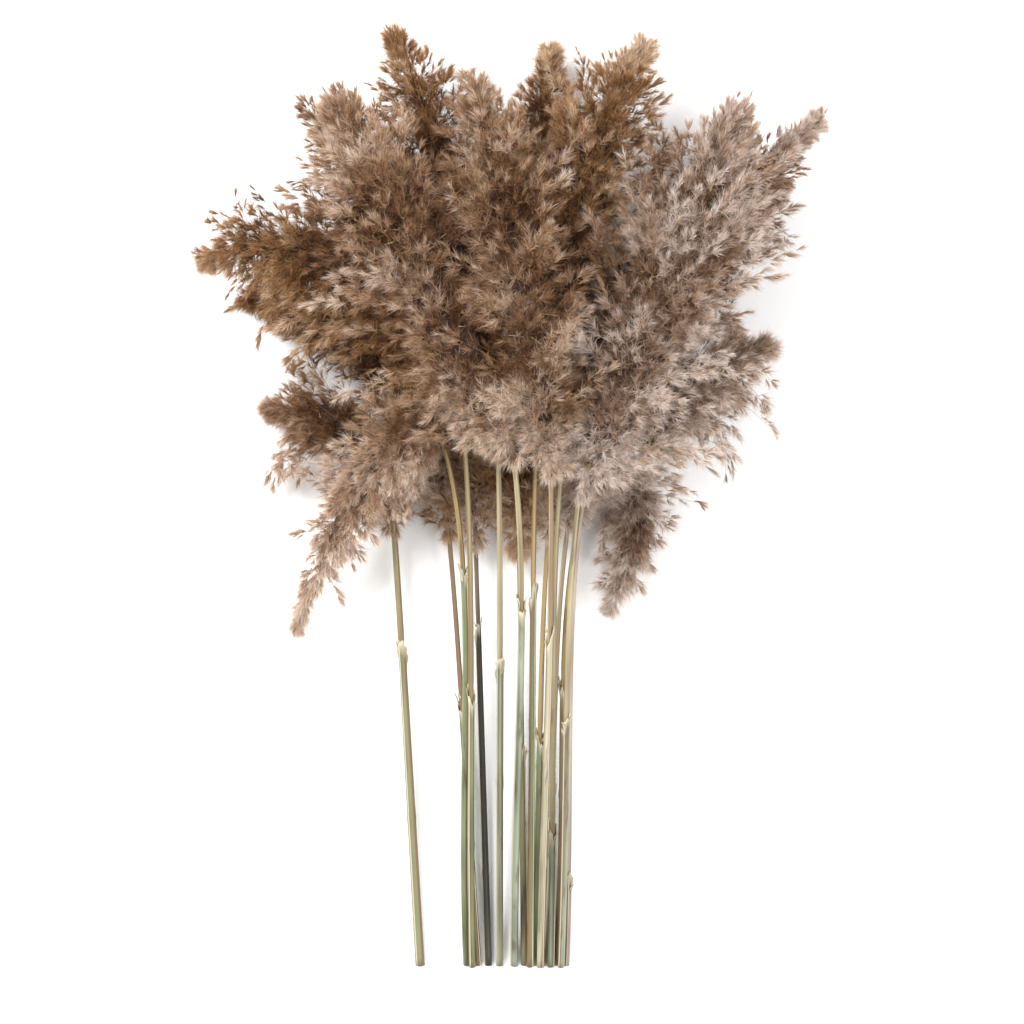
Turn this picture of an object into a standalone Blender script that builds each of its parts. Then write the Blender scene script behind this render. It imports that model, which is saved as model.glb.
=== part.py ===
"""A bunch of sixteen dried reeds, lying on a table.

Every reed is a straw stem in a clasping leaf sheath, with a feathery plume on top. The bunch lies on its
side with the cut ends towards -Y and the plumes fanned out towards +Y. The plumes rest on each other in
three layers, and the lowest ones are pressed flat against the table at Z = 0. Units are metres, +Z is up.
"""

import math
from dataclasses import dataclass

import bmesh
import bpy
import numpy as np
from mathutils import Matrix, Vector

MM = 0.001

# The cut ends
FOOT_Y = -250.0 * MM

# Stems and leaf sheaths
STEM_POINTS = 7
NECK_TAPER = 0.62  # a stem's radius inside its plume, as a share of the radius at its cut end
BEND_AT_NECK = 0.25  # how far a stem turns into its plume's own direction at the neck
STRAIGHT_SHARE = 0.40  # the stretch above the cut end that stays straight, as a share of the stem
CURVED_SHARE = 0.25  # the stretch below the neck that bends
STEM_INTO_PLUME = 0.10  # how far the stem runs up inside its plume, as a share of the plume's axis
OPEN_SHARE = 0.90  # how much of the stem lies outside its plume
SHEATH_WALL = 0.45 * MM
SHEATH_GAP = 0.35 * MM
ROUND_STEM = 1  # bevel resolution: six flats round a stem

# Plumes
BODY_SHARE = 0.62  # radius of a plume's dense middle, as a share of its reach
BODY_SIDES, BODY_RINGS = 8, 8
POLE = 1e-4  # a point of the unit ball this near its axis is one of its poles
FLATTENING = 0.62  # height of a plume's section over its width
NECK_FULLNESS = 0.50  # a plume's radius at its neck, as a share of its fullest
SWELLING = 2.6  # how soon it reaches its fullest above the neck
NARROWING = 3.6  # how late it starts to narrow below the tip
LOCK_SHARE = 0.95  # length of the locks at the neck, as a share of the plume's reach
LOCK_SHORTENING = 0.45  # how much shorter the locks at the tip are than those at the neck
LOCK_UNEVENNESS = 0.22  # how far a lock's length may depart from its neighbours'
LOCK_WAIST = 0.72  # width of a lock halfway, as a share of its root
LOCK_LEAN = 0.65  # how far a lock leans towards the plume's tip, against how far it stands out
HANG = 0.30  # how far a lock's tip hangs towards the cut ends, as a share of its length
GOLDEN_ANGLE = math.radians(137.508)

# Room between neighbouring pieces
GAP = 0.35 * MM
STEM_CLEARANCE = 0.5 * MM
PARTING_DIRECTIONS = 500
AXIS_SAMPLES = 14
FAR = 1.0  # side of a block that stands for all the space on one side of a plane
WELD = 0.001 * MM
SHARP_ANGLE = math.radians(50)

STRAW = (0.48, 0.40, 0.22, 1.0)
SHEATH_GREEN = (0.34, 0.38, 0.22, 1.0)
PLUME_BEIGE = (0.42, 0.31, 0.23, 1.0)


@dataclass(frozen=True)
class Reed:
    """One reed, in millimetres: where it is cut and where its plume starts, bends and ends."""

    foot: tuple  # x and z of the cut end
    neck: tuple
    shoulder: tuple
    tip: tuple
    reach: float  # how far the locks stand out from the plume's axis
    stem_radius: float
    collar: float  # y of the top of the leaf sheath


REEDS = (
    # lowest layer, on the table
    Reed((-51, 3.2), (-65, -6, 16), (-72, 62, 24), (-132, 58, 20), 32, 2.1, -72),
    Reed((-19, 2.4), (-35, -8, 17), (-62, 124, 26), (-142, 118, 20), 36, 1.5, -100),
    Reed((-13, 2.4), (-20, -16, 18), (-26, 136, 26), (-116, 226, 22), 38, 1.4, -60),
    Reed((7, 2.4), (4, -18, 18), (4, 136, 26), (22, 252, 22), 36, 1.5, -130),
    Reed((12.8, 2.4), (20, -10, 18), (56, 136, 26), (144, 180, 22), 38, 1.5, -120),
    Reed((18.5, 2.4), (32, 2, 17), (76, 84, 24), (122, 64, 20), 34, 1.4, -150),
    Reed((24.2, 2.4), (46, 24, 16), (86, 18, 20), (54, -50, 14), 23, 1.4, -90),
    # middle layer
    Reed((-25, 2.6), (-38, 42, 53), (-74, 52, 68), (-118, -60, 20), 25, 1.5, -30),
    Reed((-22, 7.2), (-28, 64, 64), (-76, 162, 84), (-166, 136, 56), 38, 1.5, -95),
    Reed((-7, 2.6), (-8, 52, 60), (-24, 160, 80), (-62, 254, 56), 38, 1.6, -80),
    Reed((9.9, 7.0), (13, 46, 60), (24, 156, 80), (68, 246, 56), 38, 1.4, -40),
    Reed((21.3, 7.0), (28, 38, 58), (74, 138, 82), (166, 212, 56), 38, 1.4, -170),
    Reed((29.8, 2.3), (40, 18, 50), (84, 74, 72), (136, 90, 54), 34, 1.3, -200),
    # top layer
    Reed((1.2, 2.6), (0, 36, 90), (-42, 100, 110), (-86, 204, 90), 38, 1.7, -45),
    Reed((15.6, 7.0), (20, 26, 90), (6, 110, 112), (-18, 222, 90), 36, 1.5, -62),
    Reed((27.0, 7.0), (36, 18, 84), (70, 84, 106), (112, 196, 88), 38, 1.4, -110),
)


def clear_scene():
    for item in list(bpy.data.objects):
        bpy.data.objects.remove(item)


def collection_named(name):
    made = bpy.data.collections.new(name)
    bpy.context.scene.collection.children.link(made)
    return made


def material_named(name, colour, roughness):
    made = bpy.data.materials.new(name)
    made.use_nodes = True
    shader = made.node_tree.nodes["Principled BSDF"]
    shader.inputs["Base Color"].default_value = colour
    shader.inputs["Roughness"].default_value = roughness
    shader.inputs["Metallic"].default_value = 0.0
    return made


def bezier(points, t):
    """The point at t of the Bezier curve of any number of control points."""
    points = [Vector(p) for p in points]
    while len(points) > 1:
        points = [a.lerp(b, t) for a, b in zip(points, points[1:])]
    return points[0]


def slope(path, t, step=0.01):
    """The unit direction of a path at t."""
    return (path(min(1.0, t + step)) - path(max(0.0, t - step))).normalized()


def across(direction):
    """Two unit vectors square to a direction and to each other: one level, one towards the sky."""
    level = direction.cross(Vector((0, 0, 1)))
    if level.length < 0.2:
        level = direction.cross(Vector((0, 1, 0)))
    level.normalize()
    return level, level.cross(direction).normalized()


def plume_axis(reed):
    """The plume's own stalk, from its neck over its shoulder to its nodding tip."""
    controls = [Vector(p) * MM for p in (reed.neck, reed.shoulder, reed.tip)]
    return lambda t: bezier(controls, t)


def stem_path(reed):
    """The stem from its cut end to its neck, then on up inside the plume along the plume's axis."""
    axis = plume_axis(reed)
    neck = axis(0.0)
    foot = Vector((reed.foot[0] * MM, FOOT_Y, reed.foot[1] * MM))
    chord = neck - foot
    heading = chord.normalized().lerp(slope(axis, 0.0), BEND_AT_NECK).normalized()
    controls = [foot, foot + chord * STRAIGHT_SHARE, neck - heading * chord.length * CURVED_SHARE, neck]

    def at(t):
        if t <= OPEN_SHARE:
            return bezier(controls, t / OPEN_SHARE)
        return axis((t - OPEN_SHARE) / (1 - OPEN_SHARE) * STEM_INTO_PLUME)

    return at


def stem_radius(reed, t):
    """The stem's radius at t, which shrinks evenly from the cut end."""
    return reed.stem_radius * MM * (1 + (NECK_TAPER - 1) * t)


def fullness(t):
    """How full a plume is along its axis: thin at the neck, fullest near the middle, narrow at the tip."""
    swelling = min(1.0, NECK_FULLNESS + SWELLING * t)
    narrowing = min(1.0, (1.05 - t) * NARROWING) ** 0.85
    return swelling * narrowing


def tube(name, points, radii, caps):
    """A round tube along a row of points, with a radius at each of them."""
    curve = bpy.data.curves.new(name, "CURVE")
    curve.dimensions = "3D"
    curve.bevel_depth = MM
    curve.bevel_resolution = ROUND_STEM
    curve.use_fill_caps = caps
    spline = curve.splines.new("POLY")
    spline.points.add(len(points) - 1)
    for knot, place, radius in zip(spline.points, points, radii):
        knot.co = (*place, 1.0)
        knot.radius = radius / MM
    guide = bpy.data.objects.new(name + "_guide", curve)
    bpy.context.scene.collection.objects.link(guide)
    bpy.context.view_layer.update()
    mesh = bpy.data.meshes.new_from_object(guide.evaluated_get(bpy.context.evaluated_depsgraph_get()))
    bpy.data.objects.remove(guide)
    weld(mesh)
    return mesh


def weld(mesh):
    """Joins the loose caps of a tube to its wall."""
    work = bmesh.new()
    work.from_mesh(mesh)
    bmesh.ops.remove_doubles(work, verts=work.verts, dist=WELD)
    bmesh.ops.recalc_face_normals(work, faces=work.faces)
    work.to_mesh(mesh)
    work.free()


def placed(name, mesh, collection, material=None):
    made = bpy.data.objects.new(name, mesh)
    collection.objects.link(made)
    if material:
        mesh.materials.clear()
        mesh.materials.append(material)
    return made


def ball():
    """A unit ball whose faces come ring by ring, and side by side in each ring."""
    loose = bmesh.new()
    bmesh.ops.create_uvsphere(loose, u_segments=BODY_SIDES, v_segments=BODY_RINGS, radius=1.0)
    loose.verts.index_update()
    rows = []
    for face in loose.faces:
        middle = face.calc_center_median().normalized()
        ring = int(math.acos(middle.z) / math.pi * BODY_RINGS)
        side = int(math.atan2(middle.y, middle.x) % math.tau / math.tau * BODY_SIDES)
        corners_of = [vertex.index for vertex in face.verts]
        first = corners_of.index(min(corners_of))
        rows.append((ring, side, corners_of[first:] + corners_of[:first]))
    work = bmesh.new()
    places = [work.verts.new(vertex.co) for vertex in loose.verts]
    for _, _, row in sorted(rows):
        work.faces.new([places[k] for k in row])
    loose.free()
    return work


def bent_spindle(axis, radius_at):
    """A ball drawn out along a path: each ring is moved to a point of the path and given its radius."""
    work = ball()
    for vertex in work.verts:
        t = math.acos(max(-1.0, min(1.0, vertex.co.z))) / math.pi
        level, rise = across(slope(axis, t))
        spoke = Vector((vertex.co.x, vertex.co.y, 0))
        if spoke.length > POLE:
            spoke = spoke.normalized() * radius_at(t)
        vertex.co = axis(t) + level * spoke.x + rise * spoke.y * FLATTENING
    bmesh.ops.recalc_face_normals(work, faces=work.faces)
    return work


def chequered(work):
    """Every other four-sided face of a round body, as on a chequered ball."""
    picked = []
    for number, face in enumerate(f for f in work.faces if len(f.verts) == 4):
        ring, side = divmod(number, BODY_SIDES)
        if (ring + side) % 2 == 0:
            picked.append(face)
    return picked


def cut_away(target, mesh):
    """Cuts a closed mesh away from the target object."""
    other = bpy.data.objects.new("cutter", mesh)
    bpy.context.scene.collection.objects.link(other)
    step = target.modifiers.new("cut", "BOOLEAN")
    step.operation = "DIFFERENCE"
    step.solver = "EXACT"
    step.use_self = True
    step.object = other
    bpy.context.view_layer.update()
    result = bpy.data.meshes.new_from_object(target.evaluated_get(bpy.context.evaluated_depsgraph_get()))
    target.modifiers.remove(step)
    target.data = result
    bpy.data.objects.remove(other)


def keep_largest_body(mesh):
    """Drops the crumbs that a cut leaves beside the main body."""
    work = bmesh.new()
    work.from_mesh(mesh)
    bmesh.ops.remove_doubles(work, verts=work.verts, dist=WELD)
    unseen = set(work.verts)
    bodies = []
    while unseen:
        body, edge = set(), [unseen.pop()]
        while edge:
            vertex = edge.pop()
            body.add(vertex)
            for link in vertex.link_edges:
                other = link.other_vert(vertex)
                if other in unseen:
                    unseen.remove(other)
                    edge.append(other)
        bodies.append(body)
    bodies.sort(key=len, reverse=True)
    for body in bodies[1:]:
        bmesh.ops.delete(work, geom=list(body), context="VERTS")
    work.to_mesh(mesh)
    work.free()


def nearest_on(axis, place):
    """The t at which a path passes closest to a place."""
    steps = 8 * BODY_RINGS
    return min((k / steps for k in range(steps + 1)), key=lambda t: (axis(t) - place).length)


def pull_out_lock(work, face, axis, longest, number):
    """Draws one face out into a lock that stands out, leans to the plume's tip, and hangs at its end."""
    place = face.calc_center_median()
    t = nearest_on(axis, place)
    stand = (place - axis(t)).normalized() + slope(axis, t) * LOCK_LEAN
    length = longest * (1 - LOCK_SHORTENING * t)
    length *= 1 + LOCK_UNEVENNESS * math.sin(number * GOLDEN_ANGLE)
    for vertex in face.verts:
        vertex.co = place + (vertex.co - place) * LOCK_WAIST + stand * length / 2
    tip = bmesh.ops.poke(work, faces=[face])["verts"][0]
    tip.co += stand * length / 2 + Vector((0, -HANG * length, 0))


def plume_solid(number, reed, collection, material):
    """A plume as one body: its dense middle, with its branches drawn out of it as locks."""
    axis = plume_axis(reed)
    work = bent_spindle(axis, lambda t: reed.reach * MM * BODY_SHARE * fullness(t))
    for k, face in enumerate(chequered(work)):
        drawn = bmesh.ops.extrude_discrete_faces(work, faces=[face])["faces"][0]
        pull_out_lock(work, drawn, axis, reed.reach * MM * LOCK_SHARE, k + number)
    name = f"plume_{number:02d}"
    mesh = bpy.data.meshes.new(name)
    work.to_mesh(mesh)
    work.free()
    return placed(name, mesh, collection, material)


def directions(count):
    """Unit vectors spread evenly over half a sphere."""
    heights = (np.arange(count) + 0.5) / count
    turns = np.arange(count) * GOLDEN_ANGLE
    flat = np.sqrt(1 - heights**2)
    return np.stack([flat * np.cos(turns), flat * np.sin(turns), heights], axis=1)


def parting_plane(first, second):
    """The plane that best parts two plumes, as (normal towards the first, distance from the origin)."""
    samples = np.linspace(0, 1, AXIS_SAMPLES)
    sides = []
    for reed in (first, second):
        axis = plume_axis(reed)
        points = np.array([axis(float(t)) for t in samples])
        radii = np.array([reed.reach * MM * fullness(float(t)) for t in samples])
        sides.append((points, radii))
    (points_a, radii_a), (points_b, radii_b) = sides
    normals = directions(PARTING_DIRECTIONS)
    normals = np.concatenate([normals, -normals])
    flatness = np.linalg.norm(normals * [1, 1, FLATTENING], axis=1)
    nearest_a = (points_a @ normals.T - np.outer(radii_a, flatness)).min(axis=0)
    furthest_b = (points_b @ normals.T + np.outer(radii_b, flatness)).max(axis=0)
    best = int(np.argmax(nearest_a - furthest_b))
    return Vector(normals[best]), float(nearest_a[best] + furthest_b[best]) / 2


def half_space(normal, distance):
    """A block that fills the space behind a plane, on the side that its normal points away from."""
    work = bmesh.new()
    turn = Vector((0, 0, 1)).rotation_difference(normal).to_matrix().to_4x4()
    place = Matrix.Translation(normal * (distance - FAR / 2)) @ turn
    bmesh.ops.create_cube(work, size=FAR, matrix=place)
    mesh = bpy.data.meshes.new("half_space")
    work.to_mesh(mesh)
    work.free()
    return mesh


def crosses(item, normal, distance):
    """True if part of the object lies behind the plane."""
    return any(normal.dot(vertex.co) < distance for vertex in item.data.vertices)


def cut_behind(plume, normal, distance):
    """Cuts away what lies behind a plane."""
    if crosses(plume, normal, distance):
        cut_away(plume, half_space(normal, distance))


def part_neighbours(plumes):
    """Trims each two plumes that press on each other along the plane between them."""
    for i, first in enumerate(plumes):
        for j in range(i + 1, len(plumes)):
            second = plumes[j]
            normal, distance = parting_plane(REEDS[i], REEDS[j])
            if crosses(first, normal, distance) or crosses(second, -normal, -distance):
                cut_behind(first, normal, distance + GAP / 2)
                cut_behind(second, -normal, -distance + GAP / 2)


def corners(item):
    """The lowest and the highest corner of an object's box."""
    places = np.array([vertex.co for vertex in item.data.vertices])
    return places.min(axis=0), places.max(axis=0)


def boxes_meet(one, two):
    (low_a, high_a), (low_b, high_b) = corners(one), corners(two)
    return bool(np.all(low_a < high_b) and np.all(low_b < high_a))


def make_way_for_stems(plumes, ways):
    """Opens a channel in each plume for every stem that runs into it or through it."""
    for plume in plumes:
        for way in ways:
            if boxes_meet(plume, way):
                cut_away(plume, way.data.copy())


def up_to_collar(points, radii, collar):
    """The points and radii of a stem up to its collar, and those at the collar itself."""
    count = sum(place.y < collar for place in points)
    low, high = points[count - 1], points[count]
    share = (collar - low.y) / (high.y - low.y)
    end = low.lerp(high, share)
    thickness = radii[count - 1] + (radii[count] - radii[count - 1]) * share
    return points[:count] + [end], radii[:count] + [thickness]


def stem_with_sheath(number, reed, bunch, helpers, straw, green):
    """The stem, the leaf sheath that clasps it, and the channel that both need where they pass a plume."""
    path = stem_path(reed)
    steps = [k / (STEM_POINTS - 1) for k in range(STEM_POINTS)]
    points = [path(t) for t in steps]
    radii = [stem_radius(reed, t) for t in steps]
    stem = tube(f"stem_{number:02d}", points, radii, True)
    placed(f"stem_{number:02d}", stem, bunch, straw)
    lower, thickness = up_to_collar(points, radii, reed.collar * MM)
    wall = tube(f"sheath_{number:02d}", lower, [r + SHEATH_GAP for r in thickness], False)
    sheath = placed(f"sheath_{number:02d}", wall, bunch, green)
    thick = sheath.modifiers.new("wall", "SOLIDIFY")
    thick.thickness = SHEATH_WALL
    thick.offset = 1.0
    room = SHEATH_GAP + SHEATH_WALL + STEM_CLEARANCE
    way = tube(f"way_{number:02d}", points, [r + room for r in radii], True)
    channel = placed(f"way_{number:02d}", way, helpers)
    channel.hide_render = True
    channel.display_type = "WIRE"
    return channel


def press_on_table(plumes):
    """Flattens the underside of the plumes that lie on the table."""
    for plume in plumes:
        cut_behind(plume, Vector((0, 0, 1)), 0.0)


def shade(item):
    item.data.shade_smooth()
    item.data.set_sharp_from_angle(angle=SHARP_ANGLE)


def centre_on_origin(items):
    """Moves the bunch so that the middle of its footprint is at the origin and it stands on Z = 0."""
    boxes = np.array([corners(item) for item in items])
    low, high = boxes[:, 0].min(axis=0), boxes[:, 1].max(axis=0)
    shift = Vector((-(low[0] + high[0]) / 2, -(low[1] + high[1]) / 2, -low[2]))
    for item in items:
        item.data.transform(Matrix.Translation(shift))


def main():
    clear_scene()
    bunch = collection_named("bunch_of_reeds")
    helpers = collection_named("channels")
    straw = material_named("straw", STRAW, 0.45)
    green = material_named("leaf_sheath", SHEATH_GREEN, 0.5)
    beige = material_named("plume", PLUME_BEIGE, 0.9)
    ways, plumes = [], []
    for number, reed in enumerate(REEDS, start=1):
        ways.append(stem_with_sheath(number, reed, bunch, helpers, straw, green))
        plumes.append(plume_solid(number, reed, bunch, beige))
    part_neighbours(plumes)
    make_way_for_stems(plumes, ways)
    press_on_table(plumes)
    for plume in plumes:
        keep_largest_body(plume.data)
    pieces = list(bunch.objects)
    centre_on_origin(pieces)
    for piece in pieces:
        shade(piece)


main()
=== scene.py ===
"""Looks of a bunch of dried reeds that lies on a table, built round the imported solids."""

import logging
import math
from collections.abc import Iterable
from dataclasses import dataclass, field
from enum import Enum

import bmesh
import bpy
import numpy as np
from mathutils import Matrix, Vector, noise
from mathutils.bvhtree import BVHTree


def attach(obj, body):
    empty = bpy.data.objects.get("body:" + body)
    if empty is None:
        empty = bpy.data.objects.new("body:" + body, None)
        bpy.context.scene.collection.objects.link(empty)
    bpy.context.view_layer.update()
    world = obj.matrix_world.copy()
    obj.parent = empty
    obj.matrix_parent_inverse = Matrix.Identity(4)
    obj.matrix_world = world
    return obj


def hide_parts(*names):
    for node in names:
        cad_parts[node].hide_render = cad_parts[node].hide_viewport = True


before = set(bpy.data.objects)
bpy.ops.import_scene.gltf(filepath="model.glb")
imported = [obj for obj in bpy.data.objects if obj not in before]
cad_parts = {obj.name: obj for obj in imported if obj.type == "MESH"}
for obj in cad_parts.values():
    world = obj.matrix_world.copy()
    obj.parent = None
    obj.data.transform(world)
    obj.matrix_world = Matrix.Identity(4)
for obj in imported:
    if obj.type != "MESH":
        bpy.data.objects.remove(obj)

MM = 0.001
FOOT_Y = -250.0
GOLDEN_ANGLE = 2.399963
SQUASH_HEIGHT = 3.0 * MM
COLOUR_BELOW, COLOUR_ABOVE, COLOUR_OUT = 6, 7, 2
NUMBER_A, NUMBER_B = 2, 3

Triple = tuple[float, float, float]
Colour = Triple
Curve = tuple[np.ndarray, np.ndarray, np.ndarray]
BMesh = bmesh.types.BMesh
BMEdge = bmesh.types.BMEdge
BMVert = bmesh.types.BMVert
Mesh = bpy.types.Mesh
Material = bpy.types.Material
Node = bpy.types.Node
Socket = bpy.types.NodeSocket

log = logging.getLogger("reeds")


class Cane(Enum):
    """The colours that the dry canes and their sheaths have."""

    GREEN = "green"
    OLIVE = "olive"
    BROWN = "brown"
    DARK = "dark"
    CREAM = "cream"
    GREY = "grey"
    ROSE = "rose"


class Down(Enum):
    """The colours of down that the plumes have."""

    SILVER = "silver"
    FAWN = "fawn"
    OCHRE = "ochre"


@dataclass(frozen=True)
class Reed:
    """One reed, in millimetres, on the same route as its solids.

    Its foot is x and z of the cut end. The plume runs from its neck over its shoulder to its
    tip, and reach is half its width. The collar is y of the top of the leaf sheath, and the edge
    is how far round the stem the sheath's pale margin lies, in turns from its underside. Frayed
    is how far the tip of the plume thins out into single sprigs, and spread is how far its down
    goes past its solid there. Aged is the side on which the stem has turned brown, in turns from
    its underside.
    """

    foot: tuple[float, float]
    neck: Triple
    shoulder: Triple
    tip: Triple
    reach: float
    stem_radius: float
    collar: float
    cane: Cane
    down: Down
    edge: float
    frayed: float
    spread: float
    aged: float


# Each reed has its foot, neck, shoulder and tip in the first row. The second row has its reach,
# stem radius, collar, colours, edge, frayed, spread and aged.
REEDS = (
    Reed((-51, 3.2), (-65, -6, 16), (-72, 62, 24), (-132, 58, 20),
         32, 2.1, -72, Cane.OLIVE, Down.FAWN, 0.62, 0.3, 4, 0.31),
    Reed((-19, 2.4), (-35, -8, 17), (-62, 124, 26), (-142, 118, 20),
         36, 1.5, -100, Cane.BROWN, Down.OCHRE, 0.4, 0.2, 6, 0.5),
    Reed((-13, 2.4), (-20, -16, 18), (-26, 136, 26), (-116, 226, 22),
         38, 1.4, -60, Cane.DARK, Down.FAWN, 0.7, 0.2, 8, 0.05),
    Reed((7, 2.4), (4, -18, 18), (4, 136, 26), (22, 252, 22),
         36, 1.5, -130, Cane.BROWN, Down.OCHRE, 0.35, 0.2, 6, 0.5),
    Reed((12.8, 2.4), (20, -10, 18), (56, 136, 26), (144, 180, 22),
         38, 1.5, -120, Cane.GREEN, Down.FAWN, 0.35, 0.2, 14, 0.34),
    Reed((18.5, 2.4), (32, 2, 17), (76, 84, 24), (122, 64, 20),
         34, 1.4, -150, Cane.CREAM, Down.SILVER, 0.6, 0.3, 4, 0.4),
    Reed((24.2, 2.4), (46, 24, 16), (86, 18, 20), (54, -50, 14),
         23, 1.4, -90, Cane.GREEN, Down.SILVER, 0.4, 1.0, 4, 0.7),
    Reed((-25, 2.6), (-38, 42, 53), (-74, 52, 68), (-118, -60, 20),
         25, 1.5, -30, Cane.GREEN, Down.FAWN, 0.35, 0.9, 4, 0.3),
    Reed((-22, 7.2), (-28, 64, 64), (-76, 162, 84), (-166, 136, 56),
         38, 1.5, -95, Cane.OLIVE, Down.OCHRE, 0.6, 0.3, 5, 0.68),
    Reed((-7, 2.6), (-8, 52, 60), (-24, 160, 80), (-62, 254, 56),
         38, 1.6, -80, Cane.GREY, Down.OCHRE, 0.65, 0.4, 8, 0.34),
    Reed((9.9, 7.0), (13, 46, 60), (24, 156, 80), (68, 246, 56),
         38, 1.4, -40, Cane.GREEN, Down.OCHRE, 0.4, 0.2, 13, 0.64),
    Reed((21.3, 7.0), (28, 38, 58), (74, 138, 82), (166, 212, 56),
         38, 1.4, -170, Cane.GREY, Down.SILVER, 0.35, 0.5, 2, 0.3),
    Reed((29.8, 2.3), (40, 18, 50), (84, 74, 72), (136, 90, 54),
         34, 1.3, -200, Cane.ROSE, Down.SILVER, 0.5, 0.4, 4, 0.7),
    Reed((1.2, 2.6), (0, 36, 90), (-42, 100, 110), (-86, 204, 90),
         38, 1.7, -45, Cane.GREY, Down.FAWN, 0.66, 0.2, 24, 0.08),
    Reed((15.6, 7.0), (20, 26, 90), (6, 110, 112), (-18, 222, 90),
         36, 1.5, -62, Cane.CREAM, Down.FAWN, 0.4, 0.2, 12, 0.36),
    Reed((27.0, 7.0), (36, 18, 84), (70, 84, 106), (112, 196, 88),
         38, 1.4, -110, Cane.GREY, Down.SILVER, 0.62, 0.2, 26, 0.66),
)


def norms(vectors: np.ndarray) -> np.ndarray:
    """The length of each row of an array of vectors."""
    return np.linalg.norm(vectors, axis=-1)


def unit(vectors: np.ndarray) -> np.ndarray:
    """Each row of an array of vectors, brought to length 1."""
    return vectors / np.maximum(norms(vectors)[..., None], 1e-9)


def square_to(vectors: np.ndarray, other: np.ndarray) -> np.ndarray:
    """Unit vectors square to each row, in the plane of that row and another vector."""
    along = unit(vectors)
    return unit(other - along * (other * along).sum(axis=-1, keepdims=True))


def quadratic(first: np.ndarray, middle: np.ndarray, last: np.ndarray, t: np.ndarray) -> np.ndarray:
    """Points of quadratic Bezier curves at t, one curve for each row or one for all."""
    t = np.asarray(t, float)[..., None]
    return first * (1 - t) ** 2 + middle * 2 * t * (1 - t) + last * t**2


def bezier(controls: list[np.ndarray], t: np.ndarray) -> np.ndarray:
    """Points of one Bezier curve with any number of control points.

    Args:
        controls: its control points.
        t: from 0 at its start to 1 at its end.

    Returns:
        A point for each t.
    """
    rows = [np.broadcast_to(place, (len(t), 3)) for place in controls]
    while len(rows) > 1:
        rows = [a * (1 - t[:, None]) + b * t[:, None] for a, b in zip(rows, rows[1:])]
    return rows[0]


def smooth(values: np.ndarray, low: float, high: float) -> np.ndarray:
    """0 below the low value, 1 above the high one, and a smooth step between them."""
    share = np.clip((values - low) / (high - low), 0, 1)
    return share * share * (3 - 2 * share)


def patches(places: np.ndarray, size: float, seed: float) -> np.ndarray:
    """Smooth random patches, from -1 to 1.

    Args:
        places: one row each.
        size: how wide a patch is.
        seed: shifts the pattern.

    Returns:
        A value for each place.
    """
    shift = Vector((seed, seed * 0.7, -seed))
    values = np.array([noise.noise(Vector(place) / size + shift) for place in places.tolist()])
    return np.clip(values * 1.8, -1, 1)


def places_of(vertices: Iterable) -> np.ndarray:
    """Where the vertices of a mesh or a bmesh are, one row each."""
    return np.array([vertex.co for vertex in vertices])


def move_to(work: BMesh, places: np.ndarray) -> None:
    """Moves the vertices of a bmesh to new places, one row each."""
    for vertex, place in zip(work.verts, places):
        vertex.co = place


def in_order(work: BMesh) -> None:
    """Makes the faces of a bmesh again in one order, because the operators' own order varies.

    Args:
        work: a shape with no UV map yet.
    """
    work.verts.index_update()
    vertices = list(work.verts)
    faces = []
    for face in work.faces:
        corners = [corner.index for corner in face.verts]
        lowest = corners.index(min(corners))
        faces.append(corners[lowest:] + corners[:lowest])
    bmesh.ops.delete(work, geom=work.faces[:], context="FACES_ONLY")
    for corners in sorted(faces):
        work.faces.new([vertices[k] for k in corners])


def drawn_out(work: BMesh, edges: list[BMEdge], count: int, step: Triple) -> None:
    """Draws edges out into faces, one row after another.

    Args:
        work: the bmesh that they are in.
        edges: the first row.
        count: how many rows are added.
        step: how far each row lies from the one before it.
    """
    for _ in range(count):
        drawn = bmesh.ops.extrude_edge_only(work, edges=edges)["geom"]
        edges = [item for item in drawn if isinstance(item, BMEdge)]
        row = [item for item in drawn if isinstance(item, BMVert)]
        bmesh.ops.translate(work, verts=row, vec=step)


def smooth_mesh(work: BMesh, name: str) -> Mesh:
    """Turns a bmesh into a mesh with smooth shading.

    Args:
        work: the shape, which is freed.
        name: the mesh's name.

    Returns:
        The mesh.
    """
    for face in work.faces:
        face.smooth = True
    made = bpy.data.meshes.new(name)
    work.to_mesh(made)
    work.free()
    return made


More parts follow.
